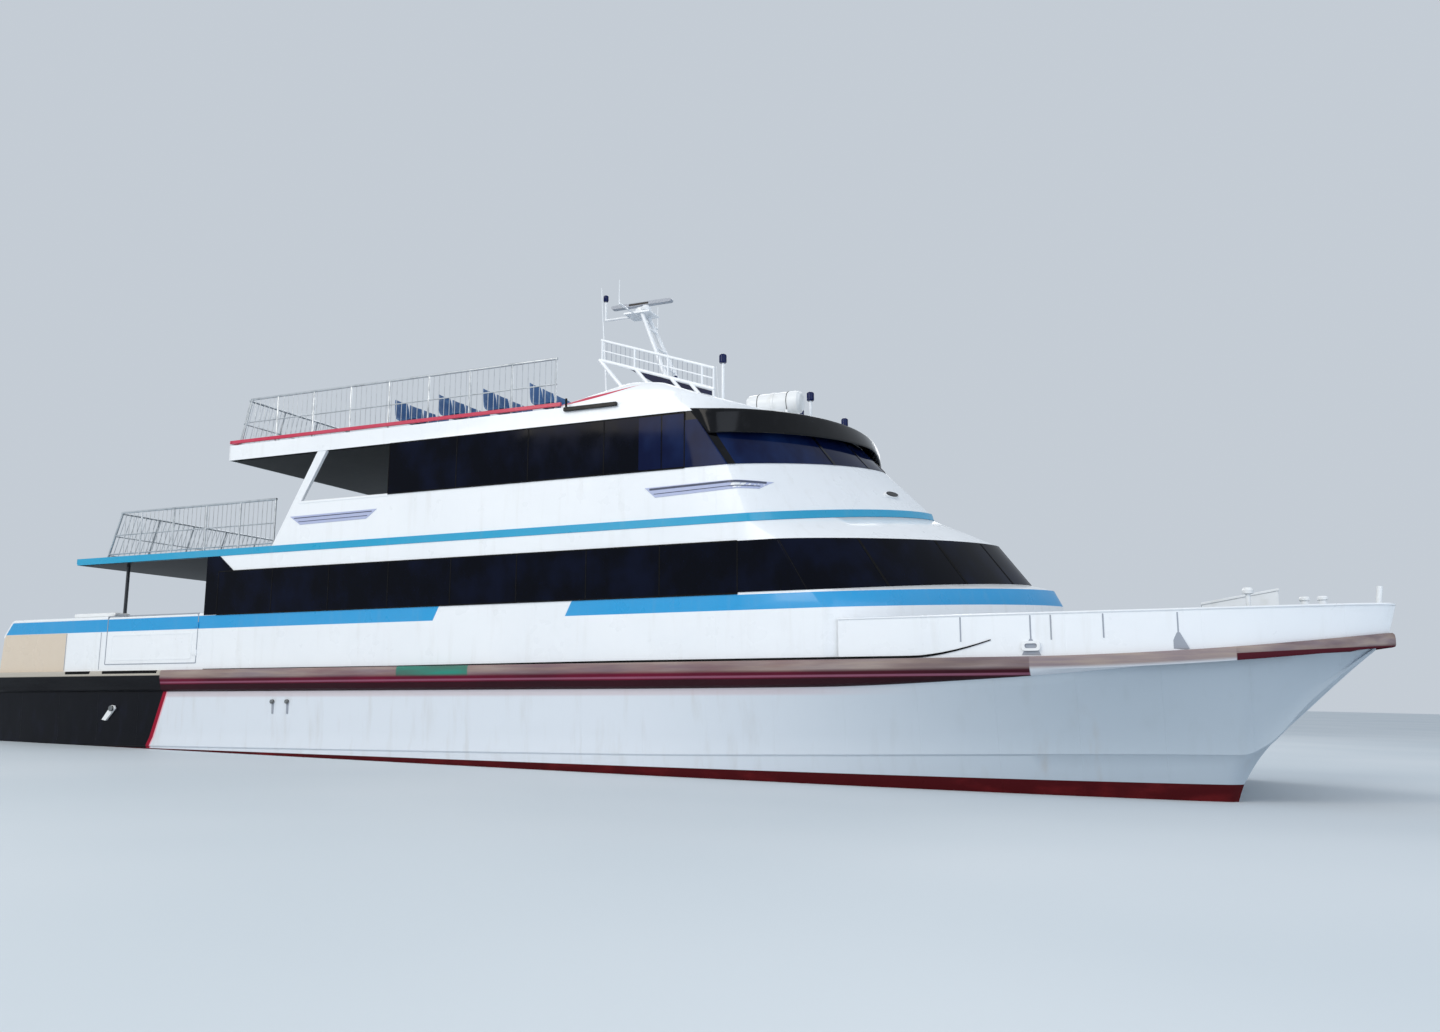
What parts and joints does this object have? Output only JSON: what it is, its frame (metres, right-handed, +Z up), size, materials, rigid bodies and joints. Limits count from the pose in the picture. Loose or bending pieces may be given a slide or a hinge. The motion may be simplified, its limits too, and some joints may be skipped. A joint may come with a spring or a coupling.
{
  "type": "passenger ferry",
  "caption": "Fast passenger ferry with catamaran hulls, enclosed cabins, an open top deck, hinged gates and doors, steering water jets and a turning radar scanner.",
  "frame": {"origin": "Amidships on the centreline, at the waterline at which the boat floats.", "axes": "+X points to the bow, +Y to port, +Z up. The picture shows the starboard side."},
  "size_m": [29.2418, 8.66, 11.84],
  "materials": {
    "hull_paint": "white topsides gloss, dark red antifouling below the waterline",
    "white_paint": "white gloss with a blue band and red stripes",
    "rub_rail_paint": "worn maroon paint",
    "deck_paint": "matt grey non-slip paint",
    "window_glass": "dark tinted glass, flush in black adhesive",
    "alloy": "bare or clear-coated aluminium",
    "jet_steel": "cast and machined stainless steel, dull",
    "seat_fabric": "blue woven seat cover",
    "bench_plastic": "blue moulded seat shells",
    "dark_trim": "black gloss"
  },
  "bodies": {
    "boat": {"hull_starboard": "hull_paint", "hull_port": "hull_paint", "bridge_deck": "hull_paint", "bridge_nose": "hull_paint", "main_deck": "deck_paint", "rub_rail_starboard": "rub_rail_paint", "rub_rail_port": "rub_rail_paint", "bow_bulwark_starboard": "white_paint", "bow_bulwark_port": "white_paint", "fore_bulwark": "white_paint", "stern_bulwark_starboard": "white_paint", "stern_bulwark_port": "white_paint", "transom_bulwark": "white_paint", "house_side_starboard": "white_paint", "house_side_port": "white_paint", "house_front": "white_paint", "house_aft": "white_paint", "glass_main_starboard": "window_glass", "glass_main_port": "window_glass", "glass_main_front": "window_glass", "stair_main": "alloy", "seats_main": "seat_fabric", "locker": "white_paint", "bitt_starboard": "alloy", "bitt_port": "alloy", "upper_deck": "white_paint", "upper_side_starboard": "white_paint", "upper_side_port": "white_paint", "upper_front": "white_paint", "upper_aft": "white_paint", "glass_upper_starboard": "window_glass", "glass_upper_port": "window_glass", "glass_upper_front": "window_glass", "rail_upper_starboard": "alloy", "rail_upper_port": "alloy", "rail_upper_aft": "alloy", "stair_upper": "alloy", "seats_upper": "seat_fabric", "helm": "dark_trim", "top_deck": "white_paint", "visor": "dark_trim", "roof": "white_paint", "rail_top_starboard": "alloy", "rail_top_port": "alloy", "rail_top_aft": "alloy", "benches_top": "bench_plastic", "wind_screen_starboard": "white_paint", "wind_screen_port": "white_paint", "mast": "white_paint"},
    "gate_starboard": {"gate_starboard": "white_paint"},
    "gate_port": {"gate_port": "white_paint"},
    "door_main_starboard": {"door_main_starboard": "alloy"},
    "door_main_port": {"door_main_port": "alloy"},
    "door_upper": {"door_upper": "alloy"},
    "locker_lid": {"locker_lid": "white_paint"},
    "radar_scanner": {"radar_scanner": "white_paint"},
    "nozzle_starboard": {"jet_nozzle_starboard": "jet_steel"},
    "nozzle_port": {"jet_nozzle_port": "jet_steel"},
    "bucket_starboard": {"jet_bucket_starboard": "jet_steel"},
    "bucket_port": {"jet_bucket_port": "jet_steel"}
  },
  "joints": [
    {"name": "gate_starboard_swing", "type": "hinge", "parent": "boat", "child": "gate_starboard", "pos_m": [-8.022, -4.2123, 2.54], "axis": [0, 0, 1], "range_deg": [0, 95]},
    {"name": "gate_port_swing", "type": "hinge", "parent": "boat", "child": "gate_port", "pos_m": [-8.022, 4.2123, 2.54], "axis": [0, 0, -1], "range_deg": [0, 95]},
    {"name": "door_main_starboard_swing", "type": "hinge", "parent": "boat", "child": "door_main_starboard", "pos_m": [-7.9023, -0.902, 2.89], "axis": [0, 0, 1], "range_deg": [0, 110]},
    {"name": "door_main_port_swing", "type": "hinge", "parent": "boat", "child": "door_main_port", "pos_m": [-7.9023, 0.902, 2.89], "axis": [0, 0, -1], "range_deg": [0, 110]},
    {"name": "door_upper_swing", "type": "hinge", "parent": "boat", "child": "door_upper", "pos_m": [-3.2523, -0.432, 5.27], "axis": [0, 0, 1], "range_deg": [0, 110]},
    {"name": "locker_lid_lift", "type": "hinge", "parent": "boat", "child": "locker_lid", "pos_m": [11.385, 0, 2.8678], "axis": [0, -1, 0], "range_deg": [0, 100]},
    {"name": "radar_spin", "type": "hinge", "parent": "boat", "child": "radar_scanner", "pos_m": [0.17, 0, 10.08], "axis": [0, 0, 1], "continuous": true},
    {"name": "nozzle_starboard_steer", "type": "hinge", "parent": "boat", "child": "nozzle_starboard", "pos_m": [-14.61, -2.95, -0.06], "axis": [0, 0, 1], "range_deg": [-30, 30]},
    {"name": "nozzle_port_steer", "type": "hinge", "parent": "boat", "child": "nozzle_port", "pos_m": [-14.61, 2.95, -0.06], "axis": [0, 0, 1], "range_deg": [-30, 30]},
    {"name": "bucket_starboard_drop", "type": "hinge", "parent": "nozzle_starboard", "child": "bucket_starboard", "pos_m": [-14.795, -2.95, 0.27], "axis": [0, -1, 0], "range_deg": [0, 45]},
    {"name": "bucket_port_drop", "type": "hinge", "parent": "nozzle_port", "child": "bucket_port", "pos_m": [-14.795, 2.95, 0.27], "axis": [0, -1, 0], "range_deg": [0, 45]}
  ],
  "couplings": [
    {"joint": "nozzle_port_steer", "follows": "nozzle_starboard_steer", "ratio": 1}
  ]
}
